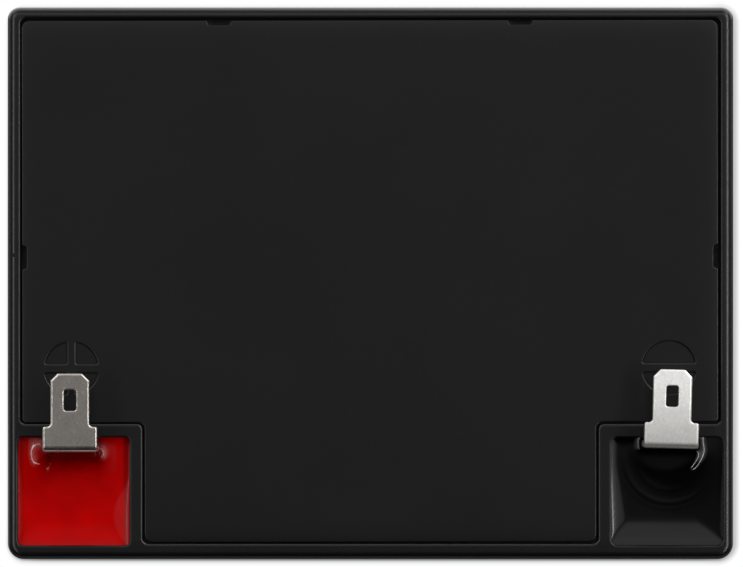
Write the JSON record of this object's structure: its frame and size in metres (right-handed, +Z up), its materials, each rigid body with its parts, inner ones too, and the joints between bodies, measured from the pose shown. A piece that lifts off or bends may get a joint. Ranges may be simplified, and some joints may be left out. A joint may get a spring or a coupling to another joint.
{
  "type": "sealed lead acid battery",
  "caption": "Upright black battery block with a T-shaped vent cover, resin-filled terminal wells in the front corners and flat push-on tabs bent back over the lid.",
  "frame": {"origin": "centre of the base, on the surface that the battery stands on", "axes": "+Z up, +Y to the rear, away from the terminals, +X to the right, towards the negative terminal"},
  "size_m": [0.0902, 0.0686, 0.107],
  "materials": {
    "container_plastic": "fine eroded mould texture, satin",
    "lid_plastic": "fine mould texture with smoother edges, light handling marks",
    "cover_plastic": "fine even mould texture",
    "tinned_brass": "tin plated, rolled edges, slightly dulled",
    "red_resin": "cast, glossy, creeping up the walls",
    "black_resin": "cast, glossy, creeping up the walls",
    "lead": "cast lead, dull grey",
    "positive_plate": "lead dioxide paste on a cast lead grid, matt brown",
    "negative_plate": "spongy lead paste on a cast lead grid, matt grey",
    "glass_mat": "fine glass fibre mat",
    "rubber": "moulded, matt"
  },
  "bodies": {
    "root": {"cell_link_1": "lead", "cell_link_2": "lead", "cell_link_3": "lead", "cell_link_4": "lead", "cell_link_5": "lead", "container": "container_plastic", "glass_mat_1a": "glass_mat", "glass_mat_1b": "glass_mat", "glass_mat_1c": "glass_mat", "glass_mat_2a": "glass_mat", "glass_mat_2b": "glass_mat", "glass_mat_2c": "glass_mat", "glass_mat_3a": "glass_mat", "glass_mat_3b": "glass_mat", "glass_mat_3c": "glass_mat", "glass_mat_4a": "glass_mat", "glass_mat_4b": "glass_mat", "glass_mat_4c": "glass_mat", "glass_mat_5a": "glass_mat", "glass_mat_5b": "glass_mat", "glass_mat_5c": "glass_mat", "glass_mat_6a": "glass_mat", "glass_mat_6b": "glass_mat", "glass_mat_6c": "glass_mat", "lid": "lid_plastic", "negative_plates_1": "negative_plate", "negative_plates_2": "negative_plate", "negative_plates_3": "negative_plate", "negative_plates_4": "negative_plate", "negative_plates_5": "negative_plate", "negative_plates_6": "negative_plate", "positive_plates_1": "positive_plate", "positive_plates_2": "positive_plate", "positive_plates_3": "positive_plate", "positive_plates_4": "positive_plate", "positive_plates_5": "positive_plate", "positive_plates_6": "positive_plate", "post_seal_negative": "rubber", "post_seal_positive": "rubber", "potting_negative": "black_resin", "potting_positive": "red_resin", "terminal_post_negative": "lead", "terminal_post_positive": "lead", "terminal_tab_negative": "tinned_brass", "terminal_tab_positive": "tinned_brass", "vent_cover": "cover_plastic", "vent_valve_1": "rubber", "vent_valve_2": "rubber", "vent_valve_3": "rubber", "vent_valve_4": "rubber", "vent_valve_5": "rubber", "vent_valve_6": "rubber"}
  },
  "joints": []
}
